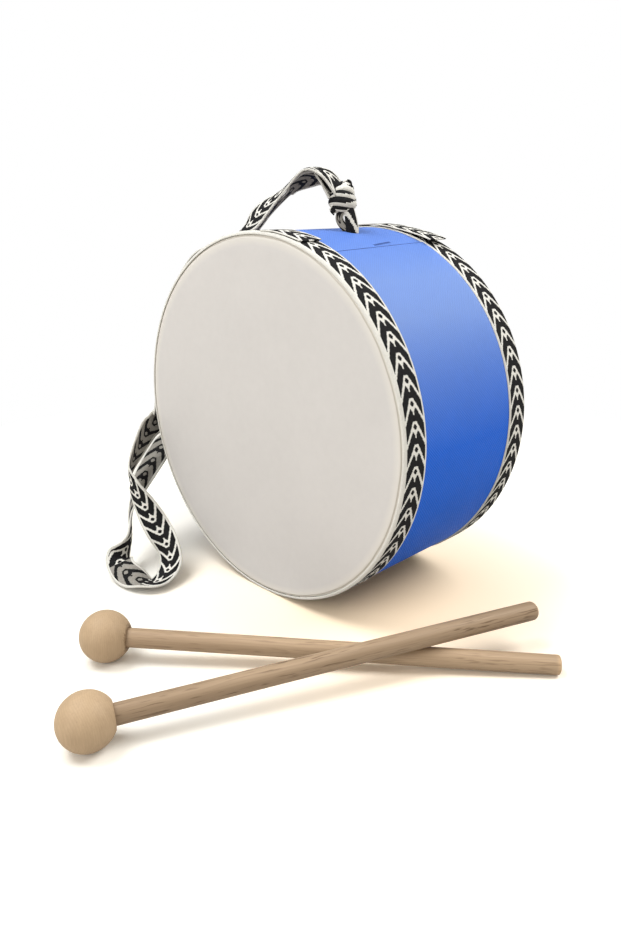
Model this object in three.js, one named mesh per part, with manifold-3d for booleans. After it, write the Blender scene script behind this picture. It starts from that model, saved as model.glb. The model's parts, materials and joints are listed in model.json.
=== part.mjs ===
// Child's drum with a shoulder strap and two mallets. Millimetres, +Z up, floor at z = 0.
// The drum lies on its curved side: its axis is parallel to Y and the playing head faces -Y.
import * as THREE from "three";
import Module from "manifold-3d";

const wasm = await Module();
wasm.setup();
const { Manifold } = wasm;

// Drum, from the outside in
const drum_d = 200; // over the ribbon bands
const drum_depth = 104; // head face to head face
const ribbon_w = 16; // woven ribbon, also the strap
const ribbon_t = 1.1;
const fit_gap = 0.3; // between pieces that lie against each other
const cover_t = 0.8; // coated sheet around the shell
const head_t = 0.8; // head sheet
const head_edge_r = 2; // rounding where the head turns over the rim
const skirt_l = 11; // how far the head runs down the shell
const shell_t = 4; // wall of the bent board shell
const ring_t = 6; // stiffening ring inside each end of the shell
const ring_w = 12;
const band_inset = 0.3; // ribbon edge behind the face of the head

// Laps and seams, as angles about the drum's axis, 0 = +X, 90 = top
const seam_a = 67; // free edge of the cover's lap, at mid depth
const seam_skew = 2.2; // the seam leans this much, front edge to rear edge
const seam_lap_a = 9;
const seam_h = 0.5; // step at the free edge
const lap_root = 0.4; // how far a lap is sunk into what it lies on
const lap_start = 0.1; // a lap starts this far under the surface that it rises from
const slit_a = 69; // small slit beside the seam
const slit_l = 15;
const slit_w = 0.7;
const slit_y = 4;
const front_lap = [70, 88]; // where the front ribbon's end lies on itself
const rear_lap = [62, 88];
const rear_lap_lift = 3.4; // the rear ribbon's end stands off
const lap_shift = 0.4; // a lapped end lies this much further from the face

// The strap's fixing: a hole, a peg behind it and a knot outside it
const hole_d = 10;
const peg_d = 6;
const peg_l = 26;
const hole_a = 81;
const hole_y = 3;
const knot_at = [9, 3, 214.5];
const knot_d = 12.5;
const knot_h = 16;
const loop_w = 5.6; // the ribbon gathered where it goes through the hole
const loop_t = 1.9;

// Mallets: a turned ball on a dowel, seen from above at its ball (x, y) and heading
const ball_d = 25.5;
const stick_d = 9.5;
const stick_l = 219.5; // from the middle of the ball to the free end
const socket_l = 5; // how far the dowel goes past the middle of the ball
const bore_gap = 0.15;
const mallets = {
  mallet_1: { at: [51, -193.2], heading: 65.8, end_round: 3.2 },
  mallet_2: { at: [-0.7, -153.4], heading: 41.7, end_round: 0.9 },
};

// Fineness of the round pieces
const drum_sides = 72;
const ball_sides = 32;
const stick_sides = 24;

const band_r = drum_d / 2;
const band_in = band_r - ribbon_t;
const cover_r = band_in - fit_gap;
const cover_in = cover_r - cover_t;
const skirt_in = cover_r - head_t;
const shell_r = Math.min(cover_in, skirt_in) - fit_gap;
const shell_in = shell_r - shell_t;
const face_y = drum_depth / 2;
const shell_y = face_y - head_t - fit_gap;
const skirt_y = face_y - skirt_l;
const cover_y = skirt_y - fit_gap;
const band_y = face_y - band_inset;
const axis_z = band_r * Math.cos(Math.PI / drum_sides);
const rad = THREE.MathUtils.degToRad;

const colours = {
  board: 0xb08d62,
  cover: 0x2f62cf,
  head: 0xdcd8d3,
  ribbon: 0x9a9a98,
  wood: 0xd9b98c,
  dowel: 0xc09a75,
};

// A closed geometry as a manifold solid and back again.
function solid(geometry) {
  const g = geometry.index ? geometry.toNonIndexed() : geometry;
  const pos = g.getAttribute("position").array;
  const keys = new Map();
  const verts = [];
  const tris = [];
  for (let i = 0; i < pos.length; i += 3) {
    const key = [0, 1, 2].map((k) => Math.round(pos[i + k] * 1e4)).join();
    if (!keys.has(key)) {
      keys.set(key, verts.length / 3);
      verts.push(pos[i], pos[i + 1], pos[i + 2]);
    }
    tris.push(keys.get(key));
  }
  const kept = [];
  for (let i = 0; i < tris.length; i += 3) {
    const [a, b, c] = tris.slice(i, i + 3);
    if (a !== b && b !== c && a !== c) kept.push(a, b, c);
  }
  const make = (t) =>
    new Manifold(
      new wasm.Mesh({
        numProp: 3,
        vertProperties: new Float32Array(verts),
        triVerts: new Uint32Array(t),
      }),
    );
  const made = make(kept);
  if (made.volume() >= 0) return made;
  const turned = [];
  for (let i = 0; i < kept.length; i += 3) turned.push(kept[i], kept[i + 2], kept[i + 1]);
  return make(turned);
}

function geometryOf(body) {
  const m = body.getMesh();
  const v = new Float32Array(m.numVert * 3);
  for (let i = 0; i < m.numVert; i++) v.set(m.vertProperties.subarray(i * m.numProp, i * m.numProp + 3), i * 3);
  const g = new THREE.BufferGeometry();
  g.setAttribute("position", new THREE.BufferAttribute(v, 3));
  g.setIndex(new THREE.BufferAttribute(m.triVerts, 1));
  const flat = g.toNonIndexed();
  flat.computeVertexNormals();
  return flat;
}

function mesh(name, body, colour, roughness = 0.7) {
  const material = new THREE.MeshStandardMaterial({ color: colour, roughness });
  const m = new THREE.Mesh(geometryOf(body), material);
  m.name = name;
  return m;
}

// A closed profile of [r, y] turned about Y, with a flat side of the polygon at the bottom.
function turned(profile, sides) {
  const pts = profile.map(([r, y]) => new THREE.Vector2(r, y));
  const g = new THREE.LatheGeometry(pts, sides, Math.PI / sides);
  return solid(g);
}

function tube(r_out, r_in, y0, y1, bevel = 0) {
  const profile = [
    [r_in, y0],
    [r_out - bevel, y0],
    [r_out, y0 + bevel],
    [r_out, y1 - bevel],
    [r_out - bevel, y1],
    [r_in, y1],
    [r_in, y0],
  ];
  return turned(profile, drum_sides);
}

// The head: a flat disc that turns over the rim into a skirt. side -1 is the front.
function head(side) {
  const arc = [];
  const inner = [];
  const steps = 3;
  const c = cover_r - head_edge_r;
  for (let i = 0; i <= steps; i++) {
    const t = rad((90 * i) / steps);
    arc.push([c + head_edge_r * Math.sin(t), face_y - head_edge_r + head_edge_r * Math.cos(t)]);
    const r = head_edge_r - head_t;
    inner.unshift([c + r * Math.sin(t), face_y - head_edge_r + r * Math.cos(t)]);
  }
  const profile = [[0, face_y], ...arc, [cover_r, skirt_y], [skirt_in, skirt_y], ...inner, [0, face_y - head_t]];
  return turned(
    profile.map(([r, y]) => [r, side * y]),
    drum_sides,
  );
}

// A point on a circle about the drum's axis, in the drum's own frame (axis at the origin).
const around = (a, r, y) => new THREE.Vector3(r * Math.cos(rad(a)), y, r * Math.sin(rad(a)));

// A direction from its heading seen from above, in degrees, and its slope in radians
const pointing = (heading, slope) =>
  new THREE.Vector3(
    Math.cos(rad(heading)) * Math.cos(slope),
    Math.sin(rad(heading)) * Math.cos(slope),
    Math.sin(slope),
  );

// A strip bent about the drum's axis from angle a0 to a1, with its inner and outer radius given at t = 0..1.
// skew turns its far end (y1) against its near end (y0).
function bent_strip(a0, a1, inner, outer, y0, y1, steps, skew = 0) {
  const ring = (y, turn) => {
    const low = [];
    const high = [];
    for (let i = 0; i <= steps; i++) {
      const t = i / steps;
      const a = a0 + (a1 - a0) * t + turn;
      low.push(around(a, inner(t), y));
      high.unshift(around(a, outer(t), y));
    }
    return [...low, ...high];
  };
  return loft([ring(y0, -skew / 2), ring(y1, skew / 2)]);
}

// Joins matching rings of points into one closed body; both ends are capped.
function loft(rings) {
  const n = rings[0].length;
  const tri = [];
  const put = (...p) => p.forEach((v) => tri.push(v.x, v.y, v.z));
  for (let k = 0; k + 1 < rings.length; k++) {
    for (let i = 0; i < n; i++) {
      const j = (i + 1) % n;
      put(rings[k][i], rings[k + 1][i], rings[k + 1][j]);
      put(rings[k][i], rings[k + 1][j], rings[k][j]);
    }
  }
  const last = rings[rings.length - 1];
  const half = n / 2;
  // caps are strips between the two long sides of a ring, which runs up one side and down the other
  for (let i = 0; i + 1 < half; i++) {
    const j = n - 1 - i;
    put(rings[0][i], rings[0][i + 1], rings[0][j]);
    put(rings[0][i + 1], rings[0][j - 1], rings[0][j]);
    put(last[i + 1], last[i], last[j]);
    put(last[j - 1], last[i + 1], last[j]);
  }
  const g = new THREE.BufferGeometry();
  g.setAttribute("position", new THREE.Float32BufferAttribute(tri, 3));
  return solid(g);
}

// A flat ribbon along stations of [x, y, z, wx, wy, wz]: the middle of the ribbon and its width direction.
function ribbon(stations, width, thick, per_step) {
  const mids = new THREE.CatmullRomCurve3(stations.map((s) => new THREE.Vector3(s[0], s[1], s[2])));
  const wide = new THREE.CatmullRomCurve3(stations.map((s) => new THREE.Vector3(s[3], s[4], s[5])));
  mids.curveType = "catmullrom";
  wide.curveType = "catmullrom";
  const count = (stations.length - 1) * per_step;
  const rings = [];
  for (let i = 0; i <= count; i++) {
    const t = i / count;
    const p = mids.getPoint(t);
    const along = mids.getTangent(t);
    const w = wide.getPoint(t);
    w.addScaledVector(along, -w.dot(along)).normalize();
    const n = new THREE.Vector3().crossVectors(along, w).normalize();
    const at = (a, b) => p.clone().addScaledVector(w, (a * width) / 2).addScaledVector(n, (b * thick) / 2);
    rings.push([at(-1, -1), at(1, -1), at(1, 1), at(-1, 1)]);
  }
  return loft(rings);
}

function cylinder(r, from, to, sides) {
  const d = new THREE.Vector3().subVectors(to, from);
  const g = new THREE.CylinderGeometry(r, r, d.length(), sides);
  g.applyQuaternion(new THREE.Quaternion().setFromUnitVectors(new THREE.Vector3(0, 1, 0), d.clone().normalize()));
  const mid = from.clone().add(to).multiplyScalar(0.5);
  g.translate(mid.x, mid.y, mid.z);
  return solid(g);
}

const drum = new THREE.Group();
drum.position.set(0, 0, axis_z);

// The strap's hole and the slit beside the seam
const hole_from = around(hole_a, shell_in - 3, hole_y);
const hole = cylinder(hole_d / 2, hole_from, around(hole_a, band_r + 3, hole_y), 24);
const slit_half_a = THREE.MathUtils.radToDeg(slit_w / 2 / cover_r);
const slit = bent_strip(
  slit_a - slit_half_a,
  slit_a + slit_half_a,
  () => cover_in - cover_t / 4,
  () => cover_r + cover_t,
  slit_y - slit_l / 2,
  slit_y + slit_l / 2,
  1,
  (seam_skew * slit_l) / (2 * cover_y),
);

const shell = tube(shell_r, shell_in, -shell_y, shell_y, 1.2).subtract(hole);
drum.add(mesh("shell_tube", shell, colours.board));

const open_y = band_y - ribbon_w - fit_gap; // the cover shows up to here, between the bands
const lap = bent_strip(
  seam_a - seam_lap_a,
  seam_a,
  () => cover_r - lap_root,
  (t) => cover_r - lap_start + (seam_h + lap_start) * t,
  -open_y,
  open_y,
  6,
  seam_skew,
);
const cover = tube(cover_r, cover_in, -cover_y, cover_y).add(lap).subtract(slit).subtract(hole);
drum.add(mesh("shell_cover", cover, colours.cover, 0.45));

drum.add(mesh("front_head", head(-1), colours.head));
drum.add(mesh("rear_head", head(1), colours.head));

const ring_r = shell_in - fit_gap;
drum.add(mesh("front_inner_ring", tube(ring_r, ring_r - ring_t, -shell_y, -shell_y + ring_w), colours.wood));
drum.add(mesh("rear_inner_ring", tube(ring_r, ring_r - ring_t, shell_y - ring_w, shell_y), colours.wood));

// Ribbon bands: a ring and the end that lies over its start. At t = 1 the end comes out of the ring,
// over the last third it has its full thickness, and a lifted end curls up over its free half.
function band(side, [a0, a1], lift) {
  const y0 = Math.min(side * band_y, side * (band_y - ribbon_w));
  const ring = tube(band_r, band_in, y0, y0 + ribbon_w);
  const rise = (t) => lift * Math.max(0, 1 - t / 0.55) ** 1.5;
  const end = bent_strip(
    a0,
    a1,
    (t) => band_r - lap_root + rise(t),
    (t) => band_r + ribbon_t * Math.min(1, (1 - t) * 3) + rise(t),
    y0 - lap_shift * side,
    y0 + ribbon_w - lap_shift * side,
    14,
  );
  return ring.add(end);
}
drum.add(mesh("front_band", band(-1, front_lap, 0), colours.ribbon, 0.85));
drum.add(mesh("rear_band", band(1, rear_lap, rear_lap_lift), colours.ribbon, 0.85));

// The strap's fixing. The ribbon goes into the hole, round the peg and out again, and both strands are
// knotted together above the hole.
function fixing() {
  const u = around(hole_a, 1, 0);
  const t = around(hole_a + 90, 1, 0);
  const at = (r, s, dy = 0) =>
    new THREE.Vector3(0, hole_y + dy, 0).addScaledVector(u, r).addScaledVector(t, s);
  const middle = new THREE.Vector3(knot_at[0], knot_at[1], knot_at[2] - band_r);
  const away = middle.clone().sub(at(cover_r, 0)).normalize();
  const peg_at = shell_in - fit_gap - peg_d / 2;
  const turn_r = peg_d / 2 + 0.2 + loop_t / 2;
  const path = [];
  const strand = (side, bow) => {
    const foot = middle.clone().addScaledVector(away, -knot_h * 0.3).addScaledVector(t, side * 1.6);
    const mouth = at(cover_r - 1, side * 1.35);
    const between = foot.clone().lerp(at(cover_r + 1.5, side * 1.5), 0.55).addScaledVector(t, side * bow);
    return [foot, between, at(cover_r + 1.5, side * 1.5), mouth];
  };
  path.push(...strand(-1, 0.3));
  for (let phi = 40; phi <= 320; phi += 35) {
    path.push(at(peg_at + turn_r * Math.cos(rad(phi)), -turn_r * Math.sin(rad(phi))));
  }
  path.push(...strand(1, 2.2).reverse());
  const loop = ribbon(
    path.map((p) => [p.x, p.y, p.z, 0, 1, 0]),
    loop_w,
    loop_t,
    2,
  );
  // the knot: a body of three wraps and the ribbon's free end standing out of it
  const profile = [];
  for (let i = 0; i <= 14; i++) {
    const h = -1 + (2 * i) / 14;
    const wraps = 1 + 0.07 * Math.cos(3 * Math.PI * h);
    profile.push([(knot_d / 2.14) * wraps * Math.sqrt(Math.max(0, 1 - h * h)), (h * knot_h) / 2]);
  }
  const turn = new THREE.Quaternion().setFromUnitVectors(new THREE.Vector3(0, 1, 0), away);
  const place = (g) => {
    g.applyQuaternion(turn);
    g.translate(middle.x, middle.y, middle.z);
    return solid(g);
  };
  const ball = place(
    new THREE.LatheGeometry(
      profile.map(([r, h]) => new THREE.Vector2(r, h)),
      20,
    ),
  );
  const ear = new THREE.SphereGeometry(1, 14, 10).scale(3.6, 4.4, 2.2).translate(2.6, knot_h * 0.42, 1);
  const tied = ball.add(place(ear)).add(loop);
  const peg = cylinder(peg_d / 2, at(peg_at, 0, -peg_l / 2), at(peg_at, 0, peg_l / 2), 16);
  return { tied, peg };
}

// The strap, from the knot over the left shoulder, down to the floor and back beside itself to the knot: the
// middle of the ribbon, x, y and z from the floor, and the way its width points, as a heading and a slope
const strap = [
  [6.5, 4, 218.5, -64, -18],
  [0.5, -1.5, 227.5, -62, -12],
  [-9, -8, 229, -49, -3],
  [-19, -15.5, 218, -38, -4],
  [-27, -22.5, 209, -18, -11],
  [-32.5, -28, 200.5, -16, -1],
  [-46.5, -35.5, 191.5, -63, 6],
  [-64.5, -39.5, 180.5, -86, 3],
  [-95, -40, 141, -91, -2],
  [-104, -43.5, 88, -70, 23],
  [-104, -49.5, 79.5, -79, 53],
  [-104, -56.5, 74, -76, 54],
  [-97.5, -73.5, 56.5, -43, 28],
  [-91, -76, 47.5, -9, 23],
  [-82.5, -73.5, 35, 31, 26],
  [-70.5, -74, 24.5, 56, 14],
  [-58, -76, 15.5, 23, 15],
  [-49.5, -81.5, 8, 19, 13],
  [-45.5, -91.5, 3.5, 3, 11],
  [-48, -98.5, 3, -34, 10],
  [-62.5, -103.5, 6.5, -88, -37],
  [-74.5, -100.5, 9.5, -128, -5],
  [-77, -96.5, 12, -81, 22],
  [-78, -90.5, 19.5, -42, 26],
  [-87.5, -83.5, 30, -21, 24],
  [-94.5, -74.5, 38, 9, 10],
  [-97.5, -65.5, 48, 27, -5],
  [-107.5, -43.5, 60.5, 28, -11],
  [-109, -35.5, 64.5, 25, -18],
  [-102.5, -25.5, 76, 65, -23],
  [-98.5, -19.5, 128.5, 90, 0],
  [-72.5, -19, 174.5, 91, -3],
  [-44.5, -16, 196, 94, 17],
  [-34, -13.5, 205.5, 119, -1],
  [-24, -7, 215, 128, 0],
  [-20.5, -5, 219, 116, -7],
  [-12, -0.5, 223.5, 101, -19],
  [-6, 1, 223.5, 111, -25],
  [-2.5, 0.5, 222.5, 112, -12],
  [3.5, 3.5, 216, 116, 18],
];
const placed = strap.map(([x, y, z, heading, slope]) => {
  return [x, y, z - band_r, ...pointing(heading, rad(slope)).toArray()];
});
const strap_body = ribbon(placed, ribbon_w, ribbon_t, 2);
const room = ribbon(placed, ribbon_w + 2 * fit_gap, ribbon_t + 2 * fit_gap, 2);
const { tied, peg } = fixing();
const knots = tied.subtract(room).decompose();
knots.sort((p, q) => q.volume() - p.volume());
drum.add(mesh("strap_top_knot", knots[0], colours.ribbon, 0.85));
drum.add(mesh("strap_top_peg", peg, colours.wood));
drum.add(mesh("strap_ribbon", strap_body, colours.ribbon, 0.85));

// Mallets, each along its own +Y from the middle of the ball
const ball_r = ball_d / 2;
const stick_r = stick_d / 2;
function mallet(name, end_round) {
  const bore_r = stick_r + bore_gap;
  const bore_y = -socket_l - bore_gap;
  const steps = ball_sides / 2;
  const neck = Math.asin((stick_r + 1.4) / ball_r);
  const outside = [];
  for (let i = 0; i <= steps; i++) {
    const t = Math.PI - ((Math.PI - neck) * i) / steps;
    outside.push([ball_r * Math.sin(t), ball_r * Math.cos(t)]);
  }
  const mouth = ball_r * Math.cos(neck) + 0.3;
  outside[0][0] = 0;
  const g = new THREE.LatheGeometry(
    [...outside, [stick_r + 0.9, mouth], [bore_r, mouth], [bore_r, bore_y], [0, bore_y]].map(
      ([r, y]) => new THREE.Vector2(r, y),
    ),
    ball_sides,
  );
  const round = [];
  const dome = Math.min(end_round, stick_r);
  for (let i = 0; i <= 4; i++) {
    const t = rad((90 * i) / 4);
    const flat = end_round < 2 ? stick_r - dome : 0;
    round.push([flat + (stick_r - flat) * Math.cos(t), stick_l - dome + dome * Math.sin(t)]);
  }
  if (end_round < 2) round.push([0, stick_l]);
  else round[4][0] = 0;
  const s = new THREE.LatheGeometry(
    [[0, -socket_l], [stick_r - 0.5, -socket_l], [stick_r, -socket_l + 0.5], ...round].map(
      ([r, y]) => new THREE.Vector2(r, y),
    ),
    stick_sides,
  );
  const group = new THREE.Group();
  group.add(mesh(name + "_ball", solid(g), colours.wood, 0.55));
  group.add(mesh(name + "_stick", solid(s), colours.dowel, 0.65));
  return group;
}

const ball_at = ({ at }) => new THREE.Vector3(at[0], at[1], ball_r);

// mallet_2 lies with its ball and its free end on the floor; mallet_1 lies over it.
const under_dir = pointing(mallets.mallet_2.heading, -Math.asin((ball_r - stick_r) / stick_l));
const apart = (slope) => {
  const d = pointing(mallets.mallet_1.heading, slope);
  const n = d.clone().cross(under_dir).normalize();
  return n.dot(ball_at(mallets.mallet_1).sub(ball_at(mallets.mallet_2)));
};
let low = -0.1;
let high = 0.2;
for (let i = 0; i < 40; i++) {
  const mid = (low + high) / 2;
  if (Math.abs(apart(mid)) < stick_d + fit_gap) low = mid;
  else high = mid;
}
const over_dir = pointing(mallets.mallet_1.heading, high);

const set = new THREE.Group();
set.add(drum);
for (const [name, dir] of [["mallet_1", over_dir], ["mallet_2", under_dir]]) {
  const m = mallet(name, mallets[name].end_round);
  m.position.copy(ball_at(mallets[name]));
  m.quaternion.setFromUnitVectors(new THREE.Vector3(0, 1, 0), dir);
  set.add(m);
}

// The frame: floor at z = 0, the middle of the drum and mallets (without the strap) at x = y = 0.
set.updateMatrixWorld(true);
const box = new THREE.Box3();
set.traverse((o) => {
  const soft = o.name.startsWith("strap_") && !o.name.endsWith("_peg");
  if (o.isMesh && !soft) box.expandByObject(o, true);
});
set.position.set(-(box.min.x + box.max.x) / 2, -(box.min.y + box.max.y) / 2, -box.min.z);

const all = new THREE.Group();
all.name = "drum_set";
all.add(set);
export default all;
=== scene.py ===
"""A child's drum with a ribbon strap and two mallets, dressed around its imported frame."""

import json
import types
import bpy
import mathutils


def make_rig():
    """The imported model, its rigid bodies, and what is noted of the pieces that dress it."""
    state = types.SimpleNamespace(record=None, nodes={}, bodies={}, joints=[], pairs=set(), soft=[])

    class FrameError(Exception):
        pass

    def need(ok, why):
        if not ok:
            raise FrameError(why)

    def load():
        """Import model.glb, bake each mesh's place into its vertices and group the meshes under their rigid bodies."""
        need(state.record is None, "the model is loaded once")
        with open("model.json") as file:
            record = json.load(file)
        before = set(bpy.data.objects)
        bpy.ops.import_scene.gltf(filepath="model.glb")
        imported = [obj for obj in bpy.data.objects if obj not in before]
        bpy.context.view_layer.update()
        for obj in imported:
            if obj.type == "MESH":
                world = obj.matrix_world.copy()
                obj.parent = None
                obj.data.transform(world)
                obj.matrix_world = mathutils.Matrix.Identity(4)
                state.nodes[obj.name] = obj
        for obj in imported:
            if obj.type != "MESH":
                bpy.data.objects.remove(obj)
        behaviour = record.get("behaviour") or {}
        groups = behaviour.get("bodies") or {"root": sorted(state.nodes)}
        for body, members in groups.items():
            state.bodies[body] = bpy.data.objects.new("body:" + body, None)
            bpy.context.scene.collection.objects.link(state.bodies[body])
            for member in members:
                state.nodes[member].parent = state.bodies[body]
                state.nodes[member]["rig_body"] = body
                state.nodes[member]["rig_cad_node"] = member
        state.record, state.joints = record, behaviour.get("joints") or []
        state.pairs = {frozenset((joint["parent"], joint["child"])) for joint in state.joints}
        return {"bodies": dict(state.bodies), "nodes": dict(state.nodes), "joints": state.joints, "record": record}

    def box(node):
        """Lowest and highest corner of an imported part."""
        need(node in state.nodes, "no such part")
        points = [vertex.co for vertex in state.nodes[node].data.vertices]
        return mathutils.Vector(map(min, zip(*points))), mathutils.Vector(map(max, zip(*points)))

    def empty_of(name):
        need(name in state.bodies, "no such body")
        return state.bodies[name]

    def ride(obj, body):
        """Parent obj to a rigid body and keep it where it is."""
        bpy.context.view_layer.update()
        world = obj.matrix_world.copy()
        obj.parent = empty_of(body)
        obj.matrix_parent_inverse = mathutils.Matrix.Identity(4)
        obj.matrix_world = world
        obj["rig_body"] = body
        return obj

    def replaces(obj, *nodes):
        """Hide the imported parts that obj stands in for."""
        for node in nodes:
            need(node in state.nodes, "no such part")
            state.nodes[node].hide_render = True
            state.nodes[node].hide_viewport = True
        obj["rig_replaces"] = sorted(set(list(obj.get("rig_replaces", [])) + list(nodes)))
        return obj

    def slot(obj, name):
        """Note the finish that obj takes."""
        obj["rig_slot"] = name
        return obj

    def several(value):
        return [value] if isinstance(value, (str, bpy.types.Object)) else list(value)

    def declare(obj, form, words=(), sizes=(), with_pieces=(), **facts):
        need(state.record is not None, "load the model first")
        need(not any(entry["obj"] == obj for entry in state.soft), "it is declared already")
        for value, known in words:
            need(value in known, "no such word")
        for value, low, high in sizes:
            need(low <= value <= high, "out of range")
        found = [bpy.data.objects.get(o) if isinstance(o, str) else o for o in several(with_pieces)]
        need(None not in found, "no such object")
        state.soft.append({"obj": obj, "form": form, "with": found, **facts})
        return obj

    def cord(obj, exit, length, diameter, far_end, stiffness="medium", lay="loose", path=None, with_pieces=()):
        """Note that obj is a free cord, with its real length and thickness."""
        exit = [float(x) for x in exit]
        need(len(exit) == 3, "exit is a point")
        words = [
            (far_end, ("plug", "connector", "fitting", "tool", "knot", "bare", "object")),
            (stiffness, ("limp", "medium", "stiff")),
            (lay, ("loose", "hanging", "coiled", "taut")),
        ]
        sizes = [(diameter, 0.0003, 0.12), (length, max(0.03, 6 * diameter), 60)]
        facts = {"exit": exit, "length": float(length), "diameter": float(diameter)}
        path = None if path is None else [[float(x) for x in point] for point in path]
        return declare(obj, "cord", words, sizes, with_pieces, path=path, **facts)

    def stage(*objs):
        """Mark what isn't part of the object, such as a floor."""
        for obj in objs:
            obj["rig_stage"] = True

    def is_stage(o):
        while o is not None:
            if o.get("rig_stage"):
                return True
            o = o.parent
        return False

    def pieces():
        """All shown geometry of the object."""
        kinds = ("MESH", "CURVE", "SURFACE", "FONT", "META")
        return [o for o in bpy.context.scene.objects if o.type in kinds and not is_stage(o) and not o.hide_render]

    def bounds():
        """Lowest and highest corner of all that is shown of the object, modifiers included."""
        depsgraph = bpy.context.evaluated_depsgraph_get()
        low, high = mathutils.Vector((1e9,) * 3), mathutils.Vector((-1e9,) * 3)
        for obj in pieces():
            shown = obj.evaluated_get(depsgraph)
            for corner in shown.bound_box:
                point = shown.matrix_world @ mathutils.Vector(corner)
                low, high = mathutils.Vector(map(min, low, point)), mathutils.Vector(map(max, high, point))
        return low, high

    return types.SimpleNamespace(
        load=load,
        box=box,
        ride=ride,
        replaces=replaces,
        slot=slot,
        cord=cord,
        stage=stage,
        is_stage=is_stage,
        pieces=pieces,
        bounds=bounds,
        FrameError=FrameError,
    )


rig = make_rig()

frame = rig.load()
import json
import math

import bmesh
import bpy
from bpy.props import FloatProperty, FloatVectorProperty, IntProperty, PointerProperty
from mathutils import Matrix, Quaternion, Vector, noise

bl_info = {
    "name": "Drum Set Builder",
    "version": (1, 0, 0),
    "blender": (4, 5, 0),
    "location": "View3D > Sidebar > Drum",
    "description": "Makes a child's drum, its woven strap and its two mallets",
    "category": "Add Mesh",
}

CAD_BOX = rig.bounds()
MM = 0.001
CAD_SIDES = 72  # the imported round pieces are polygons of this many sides

# Where the drum lies. Angles run about its axis, which is parallel to Y: 0 is +X and 90 is the top.
shell_low, shell_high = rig.box("shell_tube")
CENTRE = (shell_low + shell_high) / 2
FACE = (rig.box("rear_head")[1].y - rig.box("front_head")[0].y) / 2


def cad_radius(node):
    """Radius of a packed ring from its width in X."""
    low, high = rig.box(node)
    return (high.x - low.x) / 2 / math.cos(math.pi / CAD_SIDES)


BAND_R = cad_radius("front_band")
HEAD_R = cad_radius("front_head")
COVER_R = HEAD_R
FLOOR = 0.0

# The cover's seam and slit, in degrees about the drum's axis and metres
SEAM_ANGLE = 67
SEAM_SKEW = 2.2 / (70 * MM)  # degrees for each metre of the drum's depth
SEAM_LAP = 9
SEAM_STEP = 0.5 * MM
COVER_HALF = 40.7 * MM
SLIT_ANGLE = 68.8
SLIT_SKEW = 0.9
SLIT_Y = 3.7 * MM
SLIT_L = 15 * MM
SLIT_W = 0.55 * MM

# The strap's hole, and the middle of the knot above it
HOLE_ANGLE = 81
HOLE_Y = 3 * MM
HOLE_R = 3.1 * MM
KNOT = (9, 3, 214.5)

# The strap from the knot over the left shoulder, down to the floor and back beside itself, in millimetres
# from the drum's middle and the floor: the middle of the ribbon, and the way its width points, as a heading
# seen from above and a slope in degrees
STRAP = [
    (6.5, 4, 218.5, -64, -18), (0.5, -1.5, 227.5, -62, -12), (-9, -8, 229, -49, -3),
    (-19, -15.5, 218, -38, -4), (-27, -22.5, 209, -18, -11), (-32.5, -28, 200.5, -16, -1),
    (-46.5, -35.5, 191.5, -63, 6), (-64.5, -39.5, 180.5, -86, 3), (-95, -40, 141, -91, -2),
    (-104, -43.5, 88, -70, 23), (-104, -49.5, 79.5, -79, 53), (-104, -56.5, 74, -76, 54),
    (-97.5, -73.5, 56.5, -43, 28), (-91, -76, 47.5, -9, 23), (-82.5, -73.5, 35, 31, 26),
    (-70.5, -74, 24.5, 56, 14), (-58, -76, 15.5, 23, 15), (-49.5, -81.5, 8, 19, 13),
    (-45.5, -91.5, 3.5, 3, 11), (-48, -98.5, 3, -34, 10), (-62.5, -103.5, 6.5, -88, -37),
    (-74.5, -100.5, 9.5, -128, -5), (-77, -96.5, 12, -81, 22), (-78, -90.5, 19.5, -42, 26),
    (-87.5, -83.5, 30, -21, 24), (-94.5, -74.5, 38, 9, 10), (-97.5, -65.5, 48, 27, -5),
    (-107.5, -43.5, 60.5, 28, -11), (-109, -35.5, 64.5, 25, -18), (-102.5, -25.5, 76, 65, -23),
    (-98.5, -19.5, 128.5, 90, 0), (-72.5, -19, 174.5, 91, -3), (-44.5, -16, 196, 94, 17),
    (-34, -13.5, 205.5, 119, -1), (-24, -7, 215, 128, 0), (-20.5, -5, 219, 116, -7),
    (-12, -0.5, 223.5, 101, -19), (-6, 1, 223.5, 111, -25), (-2.5, 0.5, 222.5, 112, -12),
    (3.5, 3.5, 216, 116, 18),
]

# How the woven ribbon lies off those stations: towards the camera and up, in millimetres, and the share
# of its width that is left where it is gathered
LAY = {
    2: (0.5, 0.2, 1), 12: (2, 0, 1), 13: (5, 0, 0.95), 14: (6.5, 0, 0.95), 15: (4, 0, 1), 16: (1, 0, 1),
    18: (0, 0.2, 1), 19: (0, 0.4, 1),
    23: (-2.5, 0, 0.9), 24: (-5, 0, 0.55), 25: (-4.5, 0, 0.6), 26: (-2, 0, 0.9),
    32: (0, 0.9, 1.05), 33: (0, 1.6, 1.1), 34: (-0.5, 1.9, 1.15), 35: (-1.5, 2.2, 1.15), 36: (-2, 2.4, 1.1),
    37: (-1.5, 2, 1), 38: (-0.5, 1, 1),
}

# Tips of the chevrons along the strap: millimetres from its start, and how many repeats have passed
WEAVE = [(3.2, 0), (45.8, 4), (67.7, 7), (225, 22), (253.9, 25), (288.9, 29), (333.7, 34), (355.5, 36),
         (366, 37), (441.1, 44), (465, 46), (668.1, 65), (684.1, 67), (697, 68.2)]
TURNED_OVER = (349, 373)  # between these millimetres from its start it lies with its back up

# Mallets: heading, how round the free end is, and how tone, torn bore and flecks of the wood differ
MALLETS = {
    "mallet_1": {"heading": 65.8, "end_round": 3.2 * MM, "tone": 0.87, "torn": 0.15, "fleck": 1.0},
    "mallet_2": {"heading": 41.7, "end_round": 0.9 * MM, "tone": 1.08, "torn": 0.7, "fleck": 0.6},
}


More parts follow.
